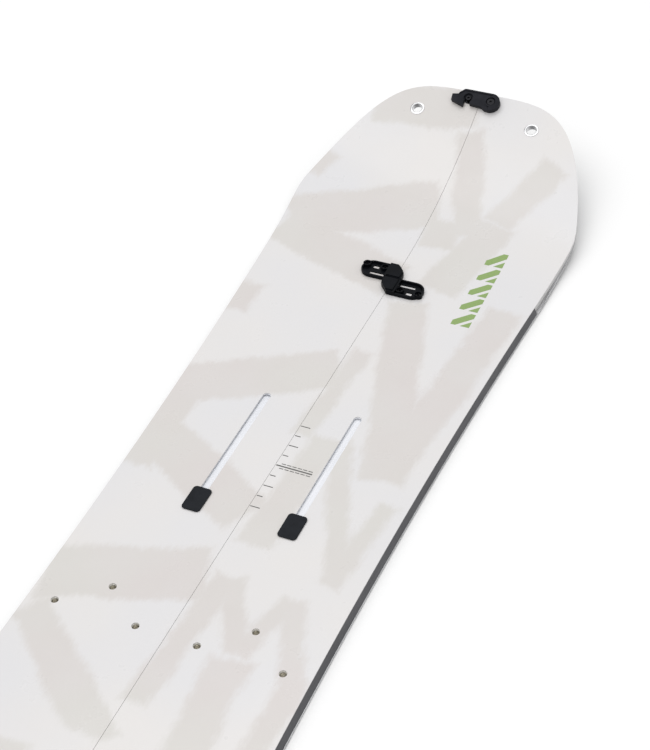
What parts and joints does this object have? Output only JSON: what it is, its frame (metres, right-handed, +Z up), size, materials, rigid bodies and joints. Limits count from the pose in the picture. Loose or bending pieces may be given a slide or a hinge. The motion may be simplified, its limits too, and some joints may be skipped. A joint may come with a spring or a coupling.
{
  "type": "splitboard",
  "caption": "Directional splitboard: a snowboard cut lengthwise into two halves, with seam hooks, swinging tip clips, binding slots with covers, inserts and grommets.",
  "frame": {"origin": "middle of the board length, on the seam, at the running base", "axes": "+X to the right half, +Y to the nose, +Z up from the topsheet"},
  "size_m": [0.3078, 1.59, 0.0761],
  "materials": {
    "running_base": "satin, stone ground",
    "core_wood": "raw",
    "glass_laminate": "satin",
    "topsheet": "glossy printed",
    "sidewall": "satin",
    "edge_steel": "ground",
    "tip_plastic": "satin",
    "insert_steel": "satin",
    "rail_aluminium": "brushed",
    "cover_plastic": "fine texture",
    "hook_plastic": "satin",
    "clip_plastic": "satin",
    "screw_steel": "black zinc",
    "grommet_metal": "polished",
    "bushing_metal": "turned"
  },
  "bodies": {
    "left_half": {"left_base": "running_base", "left_glass_layer": "glass_laminate", "left_core": "core_wood", "left_topsheet": "topsheet", "left_outer_sidewall": "sidewall", "left_inner_sidewall": "sidewall", "left_outer_edge": "edge_steel", "left_inner_edge": "edge_steel", "left_nose_fill": "tip_plastic", "left_tail_fill": "tip_plastic", "left_inserts": "insert_steel", "left_front_rail": "rail_aluminium", "left_rear_rail": "rail_aluminium", "left_front_hook": "hook_plastic", "left_rear_hook": "hook_plastic", "left_hook_screws": "screw_steel", "left_grommets": "grommet_metal", "nose_post": "screw_steel", "tail_pivot_bushing": "bushing_metal", "tail_pivot_screw": "screw_steel"},
    "right_half": {"right_base": "running_base", "right_glass_layer": "glass_laminate", "right_core": "core_wood", "right_topsheet": "topsheet", "right_outer_sidewall": "sidewall", "right_inner_sidewall": "sidewall", "right_outer_edge": "edge_steel", "right_inner_edge": "edge_steel", "right_nose_fill": "tip_plastic", "right_tail_fill": "tip_plastic", "right_inserts": "insert_steel", "right_front_rail": "rail_aluminium", "right_rear_rail": "rail_aluminium", "right_front_hook": "hook_plastic", "right_rear_hook": "hook_plastic", "right_hook_screws": "screw_steel", "right_grommets": "grommet_metal", "nose_pivot_bushing": "bushing_metal", "nose_pivot_screw": "screw_steel", "tail_post": "screw_steel"},
    "nose_clip": {"nose_clip": "clip_plastic"},
    "tail_clip": {"tail_clip": "clip_plastic"},
    "left_front_cover": {"left_front_cover": "cover_plastic"},
    "left_rear_cover": {"left_rear_cover": "cover_plastic"},
    "right_front_cover": {"right_front_cover": "cover_plastic"},
    "right_rear_cover": {"right_rear_cover": "cover_plastic"}
  },
  "joints": [
    {"name": "fold", "type": "hinge", "parent": "left_half", "child": "right_half", "pos_m": [0, 0, 0], "axis": [0, 1, 0], "range_deg": [0, 15]},
    {"name": "nose_clip_swing", "type": "hinge", "parent": "right_half", "child": "nose_clip", "pos_m": [0.0128, 0.7852, 0.06606], "axis": [0, 0.4424, -0.8968], "range_deg": [0, 180]},
    {"name": "tail_clip_swing", "type": "hinge", "parent": "left_half", "child": "tail_clip", "pos_m": [-0.0128, -0.7852, 0.04292], "axis": [0, -0.3352, -0.9421], "range_deg": [0, 180]},
    {"name": "left_front_cover_lift", "type": "slide", "parent": "left_half", "child": "left_front_cover", "axis": [0, 0, 1], "range_m": [0, 0.012]},
    {"name": "left_rear_cover_lift", "type": "slide", "parent": "left_half", "child": "left_rear_cover", "axis": [0, 0, 1], "range_m": [0, 0.012]},
    {"name": "right_front_cover_lift", "type": "slide", "parent": "right_half", "child": "right_front_cover", "axis": [0, 0, 1], "range_m": [0, 0.012]},
    {"name": "right_rear_cover_lift", "type": "slide", "parent": "right_half", "child": "right_rear_cover", "axis": [0, 0, 1], "range_m": [0, 0.012]}
  ],
  "couplings": [
    {"joint": "nose_clip_swing", "follows": "fold", "ratio": 12},
    {"joint": "tail_clip_swing", "follows": "fold", "ratio": 12}
  ]
}
